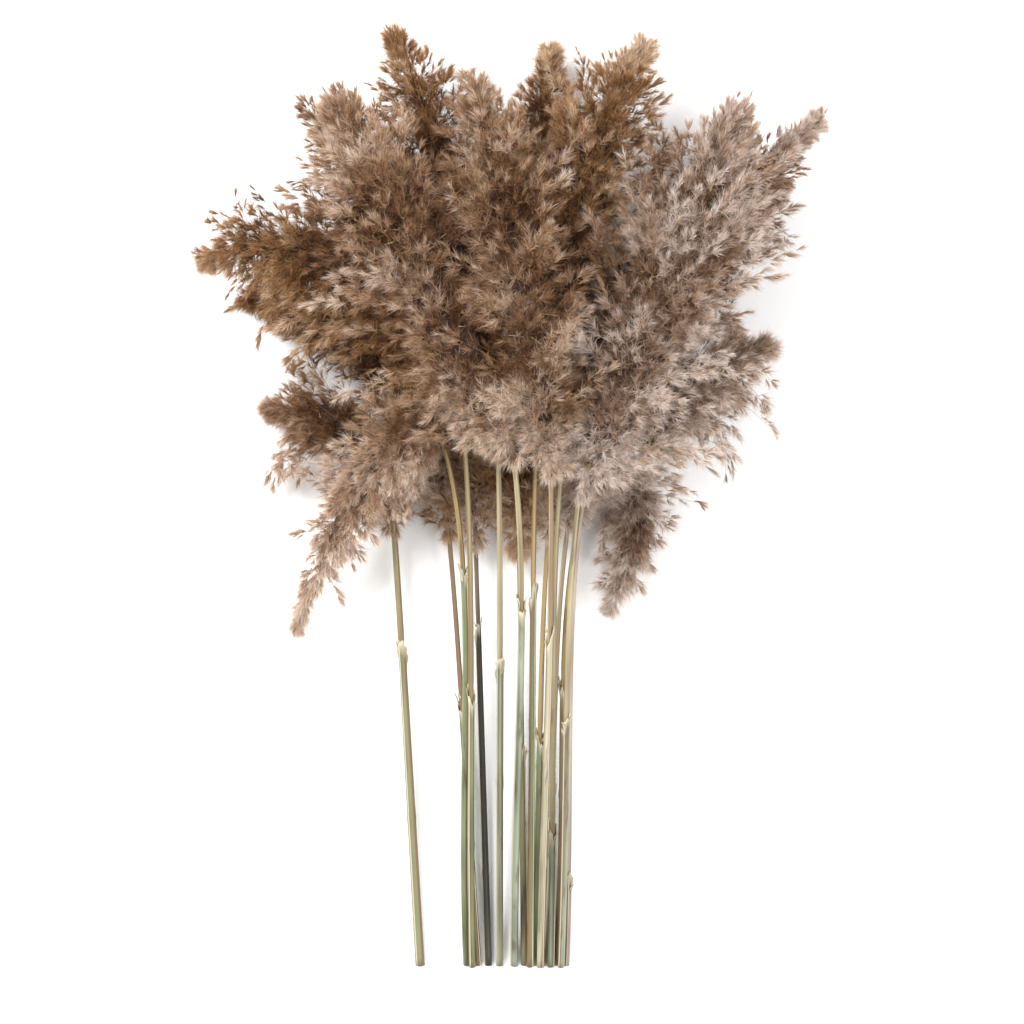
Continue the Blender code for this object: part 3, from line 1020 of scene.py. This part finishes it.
@dataclass
class Plume:
    """One feathery plume: a stalk with branches, husks on them, and down on the husks.

    A branch ends at the inset inside the solid, or past it: up to the bridge towards a neighbour
    that is nearer than the widest gap. Pointed is how far the last branches turn to run straight
    ahead, sag is how far the lowest hang, and bend is how far each one arches. The coat is short
    spikelets all over the core.
    """

    number: int
    reed: Reed
    shift: np.ndarray
    tone_and_shade: ToneAndShade = ToneAndShade()
    ray_spacing: float = 0.7 * MM
    least_reach: float = 4.0 * MM
    least_reach_near_tip: float = 1.5 * MM
    inset: float = 2.0 * MM
    widest_gap: float = 65.0 * MM
    bridge: float = 17.0 * MM
    pointed: float = 0.65
    sag: float = 7.0 * MM
    bend: float = 0.16
    spikelets_per_metre: float = 330.0
    least_on_lock: int = 14
    least_on_branch: int = 5
    coat_spacing: float = 3.6 * MM
    coat_share: float = 0.45
    tail_radius: float = 5.0 * MM
    least_open: float = 0.04
    least_open_with_husks: float = 0.12
    least_open_with_stalk: float = 0.3
    hair_length: float = 6.2 * MM
    hair_width: float = 0.25 * MM
    husk_length: float = 5.0 * MM
    husk_width: float = 0.85 * MM
    husk_crown: float = 0.4 * MM
    twig_width: float = 0.4 * MM
    core_share: float = 0.36
    core_lumps: float = 0.22
    core_in_solid: float = 0.6
    least_core: float = 0.3 * MM
    core_skin: float = 1.2 * MM
    flattening: float = 0.62

    def __post_init__(self) -> None:
        """Sets the plume's stalk and its own random numbers."""
        controls = (self.reed.neck, self.reed.shoulder, self.reed.tip)
        self.stalk = [np.array(place) * MM + self.shift for place in controls]
        self.random = np.random.default_rng(700 + self.number)
        self.label = f"{self.number:02d}"
        self.ends = self.stations = np.zeros(0)
        self.locks = 0

    def axis(self, t: np.ndarray) -> np.ndarray:
        """Points of the plume's stalk."""
        return quadratic(*self.stalk, t)

    def heading(self, t: np.ndarray) -> np.ndarray:
        """Unit directions of the plume's stalk."""
        return unit(self.axis(np.asarray(t) + 0.01) - self.axis(np.asarray(t) - 0.01))

    def length(self) -> float:
        """The length of the plume's stalk."""
        return float(norms(np.diff(self.axis(np.linspace(0, 1, 40)), axis=0)).sum())

    def wild(self, count: int) -> np.ndarray:
        """Random vectors of about the same size every way, one row each."""
        return self.random.normal(size=(count, 3))

    def nearest(self, places: np.ndarray) -> np.ndarray:
        """T of the point of the stalk that is nearest to each place."""
        steps = np.linspace(0, 1, 80)
        return steps[norms(places[:, None] - self.axis(steps)[None]).argmin(axis=1)]

    def core_radius(self, t: np.ndarray) -> np.ndarray:
        """Half the width of the plume's dense inside.

        Args:
            t: places along the stalk.

        Returns:
            The half width at each place.
        """
        full = smooth(t, 0.02, 0.24) * (1 - smooth(t, 0.62, 0.95))
        thin = 1 - self.reed.frayed * smooth(t, 0.4, 0.9)
        return self.reed.reach * MM * self.core_share * full * thin

    def frame_at(self, t: np.ndarray) -> tuple[np.ndarray, np.ndarray, np.ndarray]:
        """Unit vectors along the stalk, level across it, and square to both.

        Args:
            t: one place or many.

        Returns:
            The three vectors at each place.
        """
        forward = self.heading(t)
        level = unit(np.cross(forward, [0, 0, 1]))
        return forward, level, np.cross(level, forward)

    def room(self, tree: BVHTree, start: np.ndarray, ray: np.ndarray) -> float:
        """How far the plume's solid reaches from its stalk one way, past any channel through it.

        Args:
            tree: the solid.
            start: a place on the stalk.
            ray: a unit vector.

        Returns:
            The distance, 0 if the solid doesn't lie that way.
        """
        gone = reach = 0.0
        limit = self.reed.reach * MM * 1.7
        while gone < limit:
            here = Vector(start + ray * gone)
            place, normal, _, distance = tree.ray_cast(here, Vector(ray), limit - gone)
            if place is None:
                break
            gone += distance + 0.1 * MM
            if normal.dot(Vector(ray)) > 0:
                reach = gone
        return reach

    def core(self, solids: Solids) -> Mesh:
        """The dense inside of the plume, where the branches are too close to see between.

        Args:
            solids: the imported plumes.

        Returns:
            A round body along the stalk.
        """
        work = bmesh.new()
        bmesh.ops.create_uvsphere(work, u_segments=16, v_segments=28, radius=1.0)
        ball = places_of(work.verts)
        t = np.arccos(np.clip(ball[:, 2], -1, 1)) / math.pi
        _, level, rise = self.frame_at(t)
        spoke = ball[:, :2] / np.maximum(norms(ball[:, :2])[:, None], 0.05)
        lumps = 1 + self.core_lumps * patches(ball * 3 + self.number, 1.0, 5.0)
        out = level * spoke[:, :1] + rise * spoke[:, 1:] * self.flattening
        tree = solids.own[self.number - 1]
        room = [self.room(tree, start, ray) for start, ray in zip(self.axis(t), unit(out))]
        most = np.array(room) * self.core_in_solid / np.maximum(norms(out), 0.1)
        wide = np.minimum(self.core_radius(t) * lumps, most + self.least_core)[:, None]
        places = self.axis(t) + out * wide
        places[:, 2] = np.maximum(places[:, 2], 1.0 * MM)
        move_to(work, places)
        bmesh.ops.recalc_face_normals(work, faces=work.faces)
        in_order(work)
        return smooth_mesh(work, f"core_{self.label}")

    def branch_tips(self, solids: Solids) -> tuple[np.ndarray, np.ndarray]:
        """Where the branches end, at the solid's locks and between them.

        Args:
            solids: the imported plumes.

        Returns:
            The places and their t on the stalk.
        """
        own, others = solids.own[self.number - 1], solids.others[self.number - 1]
        locks = solids.lock_tips(self.number - 1)
        tips, where = list(locks), list(self.nearest(locks))
        self.locks = len(tips)
        count = int(self.length() / self.ray_spacing)
        for k in range(count):
            t = ((k + 0.5) / count) ** 1.2
            forward, level, rise = self.frame_at(t)
            turn = k * GOLDEN_ANGLE + self.number
            out = level * math.cos(turn) + rise * math.sin(turn)
            lean = 0.35 + 1.2 * t**2 + (1.4 * (k % 2) - 0.5) * (1 - smooth(t, 0, 0.14))
            ray = unit(out + forward * lean + np.array([0, -0.15, 0]))
            start = self.axis(t * 0.98)
            reach = self.room(own, start, ray)
            if reach > (self.least_reach if t < 0.75 else self.least_reach_near_tip):
                tip = start + ray * max(reach - self.inset, reach * 0.6)
                gap = others.ray_cast(Vector(tip), Vector(ray), self.widest_gap)[3]
                past = min(0.55 * (gap or 0), self.bridge)
                past += self.reed.spread * MM * smooth(t, 0.35, 0.8)
                tips.append(tip + ray * past)
                where.append(t)
        tips, where = np.array(tips), np.array(where)
        drawn_in = 0.5 * self.reed.frayed**2 * smooth(where, 0.3, 0.75)
        tips += (self.axis(where) - tips) * drawn_in[:, None]
        out = norms(tips - self.axis(where))[:, None]
        ahead = self.axis(where) + self.heading(where) * out - tips
        ahead[: self.locks] = 0
        tips += ahead * self.pointed * smooth(where, 0.78, 1.0)[:, None]
        return np.clip(tips, solids.low, solids.high), where

    def branches(self, solids: Solids) -> Curve:
        """The curves of the branches, which leave the stalk below their tips and arch out to them.

        Args:
            solids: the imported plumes.

        Returns:
            The first, middle and last control points, one row for each branch.
        """
        tips, where = self.branch_tips(solids)
        out = norms(tips - self.axis(where))
        start = np.maximum(where - 0.6 * out / self.length(), 0.0)
        roots = self.axis(start)
        lengths = norms(tips - roots)
        tips[:, 1] -= self.sag * (1 - smooth(where, 0.05, 0.16))
        middles = (roots + tips) / 2 + self.heading(start) * lengths[:, None] * self.bend
        self.stations = where
        return roots, middles, tips

    def clear_of(self, core: Mesh, places: np.ndarray) -> np.ndarray:
        """Tells which places are outside the core, or just under its skin.

        Args:
            core: the plume's dense inside.
            places: one row each.

        Returns:
            True or False for each place.
        """
        faces = [face.vertices[:] for face in core.polygons]
        tree = BVHTree.FromPolygons(places_of(core.vertices).tolist(), faces)
        skin = np.array([tree.find_nearest(Vector(place))[0] for place in places.tolist()])
        inner = self.axis(self.nearest(places))
        return norms(places - inner) > norms(skin - inner) - self.core_skin

    def coat(self, core: Mesh) -> tuple[np.ndarray, np.ndarray]:
        """Where short spikelets sit all over the core, and which way each of them points.

        Args:
            core: the plume's dense inside.

        Returns:
            The places and unit directions, one row each.
        """
        core.calc_loop_triangles()
        triangles = np.array([triangle.vertices[:] for triangle in core.loop_triangles])
        corners = places_of(core.vertices)[triangles]
        square = np.cross(corners[:, 1] - corners[:, 0], corners[:, 2] - corners[:, 0])
        area = norms(square) / 2
        count = int(area.sum() / self.coat_spacing**2)
        chosen = self.random.choice(len(area), count, p=area / area.sum())
        a, b = self.random.random((2, count, 1))
        beyond = a + b > 1
        a, b = np.where(beyond, 1 - a, a), np.where(beyond, 1 - b, b)
        first, second, third = corners[chosen].transpose(1, 0, 2)
        places = first + (second - first) * a + (third - first) * b
        nearest = self.nearest(places)
        outward = unit(places - self.axis(nearest))
        wild = self.wild(count) * 0.25
        return places, unit(outward * 0.75 + self.heading(nearest) * 0.9 + wild)

    def grow(self, solids: Solids, openness: Openness, core: Mesh) -> Sprigs:
        """Grows the branches and sets the spikelets on them.

        Args:
            solids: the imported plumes.
            openness: tells how open a place lies.
            core: the plume's dense inside, which has no spikelets in it.

        Returns:
            The spikelets.
        """
        self.ends = self.branches(solids)
        roots, middles, tips = self.ends
        random = self.random
        fray = self.reed.frayed * smooth(self.stations, 0.45, 1.0)
        lengths = norms(tips - roots)
        counts = (lengths * self.spikelets_per_metre * (1 - 0.5 * fray)).astype(int)
        counts = np.maximum(counts, self.least_on_branch)
        counts[: self.locks] = np.maximum(counts[: self.locks], self.least_on_lock)
        which = np.repeat(np.arange(len(tips)), counts)
        n = len(which)
        s = 0.1 + 0.9 * random.random(n) ** 0.8
        way = (roots[which], middles[which], tips[which])
        place = quadratic(*way, s)
        tangent = unit(quadratic(*way, s + 0.02) - quadratic(*way, s - 0.02))
        radial = square_to(tangent, self.wild(n))
        girth = self.tail_radius * (0.75 + 0.5 * random.random(len(tips))) * (1 - 0.45 * fray)
        thin = np.minimum(1, s / 0.35) ** 0.5 * np.clip((1.0 - s) / 0.5, 0, 1) ** 0.75
        root = place + radial * (girth[which] * thin * np.sqrt(random.random(n)))[:, None]
        spread = 0.10 + (0.40 + 0.50 * random.random(n)) * thin
        wild = self.wild(n) * 0.14
        along = unit(tangent + radial * spread[:, None] + np.array([0, -0.14, 0]) + wild)
        outside = self.clear_of(core, root)
        coat, lay = self.coat(core)
        root, along = np.concatenate([root[outside], coat]), np.concatenate([along[outside], lay])
        s = np.concatenate([s[outside], np.full(len(coat), self.coat_share)])
        place = np.concatenate([place[outside], coat])
        luck = (random.normal(size=len(tips)) * self.tone_and_shade.luck)[which][outside]
        # painted shade: the tones below are darkened where spikelets lie hidden
        seen = openness.at(self.number - 1, root)
        tone = self.tone_and_shade.tones(root, s, seen, np.concatenate([luck, np.zeros(len(coat))]))
        keep = seen > self.least_open
        return Sprigs(*(row[keep] for row in (root, along, s, tone, seen, place)))

    def hairs(self, sprigs: Sprigs, counts: np.ndarray) -> Swarm:
        """The down: a tuft of hair on each spikelet.

        Args:
            sprigs: the spikelets.
            counts: how many hairs each has.

        Returns:
            The down.
        """
        random = self.random
        which = np.repeat(np.arange(len(counts)), counts)
        n = len(which)
        along, near_tip = sprigs.along[which], smooth(sprigs.share[which], 0.7, 1.0)
        way = unit(along + self.wild(n) * (0.46 - 0.20 * near_tip)[:, None])
        length = self.hair_length * (0.6 + 0.8 * random.random(n)) * (1 - 0.3 * near_tip)
        first = sprigs.root[which] + along * (random.random(n) * 0.8 * self.husk_length)[:, None]
        last = first + way * length[:, None]
        tone = np.clip(sprigs.tone[which] + random.normal(size=n) * 0.13, 0, 1)
        width = self.hair_width * (0.7 + 0.6 * random.random(n))
        face = self.wild(n)
        swarm = Swarm()
        swarm.add(Template.hair(), (first, (first + last) / 2, last), face, width, tone)
        return swarm

    def husks(self, sprigs: Sprigs) -> Swarm:
        """The husks at the root of each spikelet that isn't hidden, two near the tip of a branch.

        Args:
            sprigs: the spikelets.

        Returns:
            The husks.
        """
        random = self.random
        shown = sprigs.open > self.least_open_with_husks
        which = np.repeat(np.arange(len(shown)), shown * (1 + (sprigs.share > 0.8)))
        n = len(which)
        along = unit(sprigs.along[which] + self.wild(n) * 0.16)
        length = self.husk_length * (0.7 + 0.5 * random.random(n))
        first = sprigs.root[which]
        last = first + along * length[:, None]
        face = self.wild(n)
        middle = (first + last) / 2 + square_to(along, face) * self.husk_crown
        tone = np.clip(sprigs.tone[which] * 0.5 + random.random(n) * 0.5, 0, 1)
        swarm = Swarm()
        swarm.add(Template.husk(), (first, middle, last), face, np.full(n, self.husk_width), tone)
        return swarm

    def twigs(self, sprigs: Sprigs) -> Swarm:
        """The plume's stalk, its branches, and the thin stalks of the open spikelets.

        Args:
            sprigs: the spikelets.

        Returns:
            The twigs.
        """
        swarm = Swarm()
        way = tuple(place[None] for place in self.stalk)
        width = np.array([self.reed.stem_radius * MM])
        swarm.add(Template.stalk(16), way, np.array([[0, 0, 1.0]]), width, np.array([0.3]))
        long_ones, others = slice(0, self.locks), slice(self.locks, None)
        for template, part in ((Template.stalk(), long_ones), (Template.sprig(), others)):
            way = tuple(row[part] for row in self.ends)
            n = len(way[0])
            face, width = self.wild(n), np.full(n, self.twig_width)
            swarm.add(template, way, face, width, self.random.random(n) * 0.7)
        shown = np.flatnonzero(sprigs.open > self.least_open_with_stalk)
        first, last = sprigs.stalk[shown], sprigs.root[shown] + sprigs.along[shown] * 1.0 * MM
        n = len(shown)
        face, width = self.wild(n), np.full(n, self.twig_width)
        swarm.add(Template.hair(), (first, (first + last) / 2, last), face, width, np.full(n, 0.5))
        return swarm


@dataclass
class Stalk:
    """One cane from its cut end into its plume, with the leaf base that clasps it.

    Taper is the share of its radius that the cane loses on the way, and free is how much of its
    route lies outside the plume. The wall is the share of the radius that isn't hollow at the cut
    end. Bare is how much thicker the cane is above its leaf base. The leaf base lies a gap off the
    cane and laps over its own edge. Slant is how far its top lies askew.
    """

    number: int
    reed: Reed
    shift: np.ndarray
    sides: int = 14
    rings: int = 40
    taper: float = 0.38
    free: float = 0.9
    hollow_depth: float = 7.0 * MM
    wall: float = 0.34
    bare: float = 0.3 * MM
    columns: int = 22
    rows: int = 44
    sheath_turns: float = 1.09
    sheath_wall: float = 0.22 * MM
    sheath_gap: float = 0.28 * MM
    overlap: float = 0.5 * MM
    slant: float = 4.5 * MM
    deepest_tear: float = 5.0 * MM
    rib: float = 0.05 * MM
    flare: float = 1.1 * MM
    joint: float = 0.30 * MM

    def __post_init__(self) -> None:
        """Sets the stalk's route and its own random numbers."""
        self.random = np.random.default_rng(40 + self.number)
        self.label = f"{self.number:02d}"
        self.collar = self.reed.collar * MM + self.shift[1]
        controls = (self.reed.neck, self.reed.shoulder, self.reed.tip)
        self.plume = [np.array(place) * MM + self.shift for place in controls]
        foot = np.array([self.reed.foot[0], FOOT_Y, self.reed.foot[1]]) * MM + self.shift
        neck = self.plume[0]
        chord = neck - foot
        start = unit(quadratic(*self.plume, np.array(0.01)) - neck)
        heading = unit(unit(chord) * 0.75 + start * 0.25)
        before = neck - heading * norms(chord) * 0.25
        self.controls = [foot, foot + chord * 0.40, before, neck]

    def route(self, t: np.ndarray) -> np.ndarray:
        """Points of the stem, which is free at first and then goes a little way into the plume.

        Args:
            t: from 0 at the cut end to 1 at the end inside the plume.

        Returns:
            A point for each t.
        """
        outside = bezier(self.controls, np.clip(t / self.free, 0, 1))
        inside = bezier(self.plume, np.clip((t - self.free) / 0.1, 0, 1) * 0.1)
        return np.where((t <= self.free)[:, None], outside, inside)

    def station(self, height: np.ndarray) -> np.ndarray:
        """T of the stem at a place along y."""
        steps = np.linspace(0, self.free, 200)
        return np.interp(height, self.route(steps)[:, 1], steps)

    def radius(self, t: np.ndarray) -> np.ndarray:
        """The stem's radius at t."""
        return self.reed.stem_radius * MM * (1 - self.taper * t)

    def across(self, t: np.ndarray) -> tuple[np.ndarray, np.ndarray]:
        """Unit vectors square to the stem: level, and towards the sky.

        Args:
            t: places along the stem.

        Returns:
            The two vectors at each place.
        """
        forward = unit(self.route(np.minimum(t + 0.01, 1)) - self.route(np.maximum(t - 0.01, 0)))
        level = unit(np.cross(forward, [0, 0, 1]))
        return level, np.cross(level, forward)

    def out(self, t: np.ndarray, turn: np.ndarray) -> np.ndarray:
        """Unit vectors out from the stem.

        Args:
            t: places along the stem.
            turn: how far round from its underside each one is, in turns.

        Returns:
            A vector for each place.
        """
        level, rise = self.across(t)
        angle = turn[:, None] * math.tau
        return level * np.sin(angle) - rise * np.cos(angle)

    def tube(self, work: BMesh, count: int) -> tuple[np.ndarray, np.ndarray]:
        """Draws a circle out into a tube of many rings.

        Args:
            work: an empty bmesh, which gets the tube.
            count: how many rings.

        Returns:
            Each vertex's turn round the tube, 0 to 1, and its ring.
        """
        bmesh.ops.create_circle(work, segments=self.sides, radius=1.0)
        drawn_out(work, list(work.edges), count - 1, (0, 0, 1))
        places = places_of(work.verts)
        turn = np.arctan2(places[:, 0], -places[:, 1]) / math.tau % 1.0
        turn = np.round(turn * self.sides) % self.sides / self.sides
        return turn, np.round(places[:, 2]).astype(int)

    def cane(self) -> Mesh:
        """The cane, with its hollow cut end.

        Returns:
            A closed tube.
        """
        t = np.concatenate([[0, 0, 0], np.linspace(0.0008, 1, self.rings), [1]])
        radius = self.radius(t)
        radius += self.bare * smooth(self.route(t)[:, 1], *(self.collar + np.array([-2, 6]) * MM))
        radius[:2] *= 1 - self.wall
        radius[2] *= 0.96
        radius[-1] *= 0.05
        grain = 0.1 + 0.88 * t
        # the first rings lie where the finish paints the cut rim and the hollow's painted shade
        grain[:3] = (0.02, 0.07, 0.09)
        work = bmesh.new()
        turns, ring = self.tube(work, len(t))
        places = self.route(t[ring]) + self.out(t[ring], turns) * radius[ring][:, None]
        places[ring == 0] += unit(self.controls[1] - self.controls[0]) * self.hollow_depth
        move_to(work, places)
        grains = {vertex: (turn, grain[k]) for vertex, turn, k in zip(work.verts, turns, ring)}
        bmesh.ops.holes_fill(work, edges=work.edges)
        bmesh.ops.recalc_face_normals(work, faces=work.faces)
        layer = work.loops.layers.uv.new("grain")
        for face in work.faces:
            turns = [grains[corner.vert][0] for corner in face.loops]
            seam = max(turns) - min(turns) > 0.5
            for corner, around in zip(face.loops, turns):
                whole = around + 1 if seam and around < 0.5 else around
                corner[layer].uv = (whole / (1 + 1 / self.sides), grains[corner.vert][1])
        return self.finished(work, f"cane_{self.label}", self.reed.aged)

    def leaf_base(self) -> Mesh:
        """The leaf base: a thin ribbed strip rolled once round the cane, torn at the top.

        Returns:
            A closed thin shell.
        """
        work = bmesh.new()
        bmesh.ops.create_grid(work, x_segments=self.columns, y_segments=self.rows, size=0.5)
        flat = places_of(work.verts) + 0.5
        around, up = flat[:, 0], flat[:, 1]
        column = np.round(around * self.columns).astype(int)
        slant = self.slant * np.cos((around - self.random.random()) * math.tau)
        torn = self.random.random(self.columns + 1) ** 2 * self.deepest_tear
        top = self.collar + (slant - torn[column])
        t = 0.001 + (self.station(top) - 0.001) * up
        turn = self.reed.edge + self.sheath_turns * (around - 1)
        ribs = self.rib * np.cos(around * self.columns * math.pi)
        wide = 0.2 + self.random.random(self.columns + 1)
        flare = self.flare * smooth(up, 0.965, 1.0) * wide[column]
        joint = self.joint * np.exp(-(((t - 0.17 - 0.1 * (self.number % 3)) / 0.006) ** 2))
        radius = self.radius(t) + self.sheath_gap + self.overlap * around + ribs + flare + joint
        places = self.route(t) + self.out(t, turn) * radius[:, None]
        move_to(work, places)
        layer = work.loops.layers.uv.new("grain")
        spots = dict(zip(work.verts, zip(around, top - self.route(t)[:, 1])))
        for face in work.faces:
            for corner in face.loops:
                across, down = spots[corner.vert]
                corner[layer].uv = (across, max(down, 0) / 0.3)
        self.tatters(work, layer)
        bmesh.ops.recalc_face_normals(work, faces=work.faces)
        bmesh.ops.solidify(work, geom=work.faces[:], thickness=self.sheath_wall)
        aged = 1 + (self.reed.aged - self.reed.edge) / self.sheath_turns
        return self.finished(work, f"leaf_base_{self.label}", aged)

    def tatters(self, work: BMesh, layer: bmesh.types.BMLayerItem) -> None:
        """Adds the papery shreds that stick out round the torn top.

        Args:
            work: the leaf base, which gets the shreds.
            layer: its grain map.
        """
        highest = self.station(self.collar)
        for _ in range(1 + self.number % 3):
            turn = self.random.random()
            t = np.array([highest - self.random.random() * 0.02])
            out = self.out(t, np.array([turn]))[0]
            root = self.route(t)[0] + out * (self.radius(t)[0] + 0.4 * MM)
            forward = unit(self.route(t + 0.01)[0] - self.route(t)[0])
            side = np.cross(forward, out)
            length = (3 + 6 * self.random.random() ** 2) * MM
            width = (1.0 + 1.2 * self.random.random()) * MM
            curl = 0.1 + 0.5 * self.random.random()
            made = bmesh.ops.create_grid(work, x_segments=2, y_segments=6, size=0.5)["verts"]
            for vertex in made:
                x, y = vertex.co.x, vertex.co.y + 0.5
                lift = out * (y**1.6 * curl * length + abs(x) * 0.5 * width)
                sideways = side * x * width * (1.05 - y**2)
                vertex.co = root + forward * y * length * 0.9 + lift + sideways
            for face in {face for vertex in made for face in vertex.link_faces}:
                for corner in face.loops:
                    corner[layer].uv = (0.3 + turn * 0.3, 0.002)

    def finished(self, work: BMesh, name: str, aged: float) -> Mesh:
        """Makes a smooth mesh whose finish can tell its reed and its aged side.

        Args:
            work: the shape, which is freed.
            name: the mesh's name.
            aged: where on the grain map, round the stem, the brown side is.

        Returns:
            The mesh.
        """
        made = smooth_mesh(work, name)
        for mark, value in (("reed", self.number * 1.37), ("aged", aged)):
            marks = made.attributes.new(mark, "FLOAT", "POINT").data
            marks.foreach_set("value", np.full(len(made.vertices), value, np.float32))
        return made


@dataclass
class Stems:
    """All the canes, each with its leaf base.

    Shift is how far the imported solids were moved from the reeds' own numbers.
    """

    shift: np.ndarray

    def build(self) -> None:
        """Builds the canes and the leaf bases in the place of the stems and the sheaths."""
        canes, leaves = {}, {}
        for kind in Cane:
            canes[kind] = StrawFinish(f"cane_{kind.value}", *STEM_COLOURS[kind]).material()
            leaves[kind] = LeafFinish(f"sheath_{kind.value}", *SHEATH_COLOURS[kind]).material()
        for number, reed in enumerate(REEDS, start=1):
            stalk = Stalk(number, reed, self.shift)
            placed(stalk.cane(), canes[reed.cane], f"stem_{stalk.label}")
            placed(stalk.leaf_base(), leaves[reed.cane], f"sheath_{stalk.label}")


@dataclass
class Head:
    """All the plumes, with the hairs shared out by how open each spikelet lies.

    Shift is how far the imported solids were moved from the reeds' own numbers. Triangles is how
    many the down, chaff and twigs have in all.
    """

    shift: np.ndarray
    triangles: int = 985_000
    weight_when_open: float = 2.2
    least_weight: float = 0.15

    def weights(self, shares: np.ndarray) -> np.ndarray:
        """How much down each spikelet gets, 1 where it lies open."""
        return np.clip(shares * self.weight_when_open, self.least_weight, 1.0)

    def build(self) -> None:
        """Builds the plumes' down, chaff, twigs and cores in the place of the plumes."""
        solids = Solids(len(REEDS))
        openness = Openness(solids)
        plumes = [Plume(number, reed, self.shift) for number, reed in enumerate(REEDS, start=1)]
        cores = [plume.core(solids) for plume in plumes]
        grown = [plume.grow(solids, openness, core) for plume, core in zip(plumes, cores)]
        coarse = []
        for plume, sprigs in zip(plumes, grown):
            chaff, twigs = plume.husks(sprigs), plume.twigs(sprigs)
            coarse.append((chaff.mesh(f"chaff_{plume.label}"), twigs.mesh(f"twigs_{plume.label}")))
        spent = sum(len(mesh.polygons) for pair in coarse for mesh in pair)
        whole = self.weights(np.concatenate([sprigs.open for sprigs in grown])).sum()
        hairs_each = (self.triangles - spent) / whole
        log.info("up to %.1f hairs on each spikelet", hairs_each)
        down = {kind: finish.material() for kind, finish in DOWN_FINISHES.items()}
        # the cores' dark finish is partly painted shade
        husk, twig, inside = CHAFF.material(), TWIG.material(), CoreAndShadeFinish().material()
        for plume, sprigs, core, (chaff, twigs) in zip(plumes, grown, cores, coarse):
            weight = self.weights(sprigs.open)
            counts = np.floor(weight * hairs_each + plume.random.random(len(weight))).astype(int)
            hairs = plume.hairs(sprigs, counts).mesh(f"down_{plume.label}")
            placed(hairs, down[plume.reed.down], f"plume_{plume.label}")
            placed(chaff, husk)
            placed(twigs, twig)
            placed(core, inside)


@dataclass
class Studio:
    """A pale floor, soft light and a camera that looks straight down on the bunch.

    The camera sees a square of twice the half size at the seen height.
    """

    floor_half: float = 3.0
    floor_colour: Colour = (0.93, 0.93, 0.93)
    room_light: float = 0.75
    aim: Triple = (0, 0.05, 0.05)
    lens: float = 85.0
    sensor: float = 36.0
    seen_half: float = 0.272
    seen_height: float = 0.06

    def build(self) -> None:
        """Makes the floor, the lights and the camera."""
        self.floor()
        self.lamp("key", (-0.7, 0.6, 1.3), size=0.8, power=34.0)
        self.lamp("fill", (0.9, -0.3, 1.2), size=1.2, power=17.0)
        world = bpy.data.worlds.new("room")
        bpy.context.scene.world = world
        world.use_nodes = True
        light = world.node_tree.nodes["Background"].inputs
        light["Color"].default_value = (1, 1, 1, 1)
        light["Strength"].default_value = self.room_light
        self.camera()
        bpy.context.scene.view_settings.view_transform = "Standard"

    def floor(self) -> None:
        """Makes the floor."""
        work = bmesh.new()
        bmesh.ops.create_grid(work, x_segments=1, y_segments=1, size=self.floor_half)
        floor = linked("floor", smooth_mesh(work, "floor"))
        nodes = Nodes("floor", 0.9)
        nodes.shader.inputs["Base Color"].default_value = (*self.floor_colour, 1)
        floor.data.materials.append(nodes.material)

    def lamp(self, name: str, place: Triple, size: float, power: float) -> None:
        """Makes a square soft light that looks at the middle of the bunch.

        Args:
            name: the light's name.
            place: where it is.
            size: how wide it is.
            power: in watts.
        """
        data = bpy.data.lights.new(name, "AREA")
        data.shape, data.size, data.energy = "SQUARE", size, power
        made = linked(name, data)
        made.location = place
        made.rotation_mode = "QUATERNION"
        made.rotation_quaternion = (Vector(self.aim) - Vector(place)).to_track_quat("-Z", "Y")

    def camera(self) -> None:
        """Makes the camera, high enough above the bunch to see the whole of it."""
        data = bpy.data.cameras.new("camera")
        data.lens, data.sensor_width = self.lens, self.sensor
        made = linked("camera", data)
        half_angle = math.atan(self.sensor / 2 / self.lens)
        made.location = (0, 0, self.seen_height + self.seen_half / math.tan(half_angle))
        bpy.context.scene.camera = made


def layout_shift() -> np.ndarray:
    """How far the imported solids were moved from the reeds' own numbers.

    Returns:
        The shift of the first stem's cut end.
    """
    points = places_of(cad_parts["stem_01"].data.vertices)
    end = points[points[:, 1] < points[:, 1].min() + 1.5 * MM]
    foot = REEDS[0].foot
    return end.mean(axis=0) - np.array([foot[0], FOOT_Y, foot[1]]) * MM


def main() -> None:
    """Builds every piece in order."""
    logging.basicConfig(level=logging.INFO, format="%(message)s")
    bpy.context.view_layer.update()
    shift = layout_shift()
    Stems(shift).build()
    Head(shift).build()
    Studio().build()


if __name__ == "__main__":
    main()
